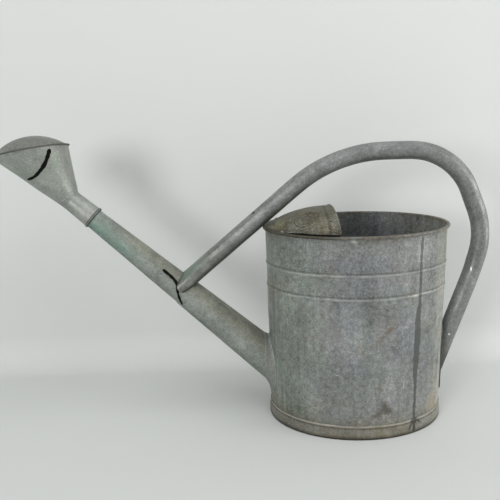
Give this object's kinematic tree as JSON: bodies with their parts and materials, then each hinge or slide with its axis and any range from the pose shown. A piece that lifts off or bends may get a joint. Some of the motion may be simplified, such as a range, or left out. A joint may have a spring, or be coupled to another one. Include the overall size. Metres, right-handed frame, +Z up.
{
  "type": "watering can",
  "caption": "Oval galvanised watering can with a half hood, long tapered spout, arched tube handle and a slip-on rose that turns and pulls off.",
  "frame": {"origin": "on the floor, at the centre of the oval foot", "axes": "+Z up; +X towards the handle side of the can, the spout points to -X; the XZ plane is the plane of symmetry of everything but the turned rose"},
  "size_m": [0.705, 0.2034, 0.4283],
  "materials": {
    "wall_zinc": "dull weathered galvanised sheet with vertical streaks",
    "foot_zinc": "dull galvanised sheet stained brown near the floor",
    "hood_zinc": "dull brownish galvanised sheet",
    "spout_zinc": "weathered galvanised sheet, greenish grey",
    "rose_zinc": "pale greenish grey galvanised sheet",
    "handle_zinc": "weathered galvanised tube",
    "plate_zinc": "dark galvanised strap",
    "solder_zinc": "solder-coated galvanised flange",
    "plain_wire": "plain drawn wire",
    "dark_ring": "darkened ring",
    "dull_rivet": "dull rivet"
  },
  "bodies": {
    "can": {"body_shell": "wall_zinc", "rim_wire": "plain_wire", "bottom_plate": "wall_zinc", "foot_band": "foot_zinc", "foot_wire": "plain_wire", "hood": "hood_zinc", "hood_edge_wire": "hood_zinc", "hood_rivets": "dull_rivet", "spout_lower": "spout_zinc", "spout_upper": "spout_zinc", "spout_collar": "solder_zinc", "handle_tube": "handle_zinc", "handle_back_plate": "plate_zinc"},
    "mouth_ring": {"rose_mouth_ring": "dark_ring"},
    "rose": {"rose_socket": "rose_zinc", "rose_cone": "rose_zinc", "rose_face": "rose_zinc", "rose_rim": "rose_zinc"}
  },
  "joints": [
    {"name": "rose_pull", "type": "slide", "parent": "can", "child": "mouth_ring", "axis": [-0.742, 0, 0.6704], "range_m": [0, 0.045]},
    {"name": "rose_turn", "type": "hinge", "parent": "mouth_ring", "child": "rose", "pos_m": [-0.37533, 0, 0.30903], "axis": [-0.742, 0, 0.6704], "continuous": true}
  ]
}
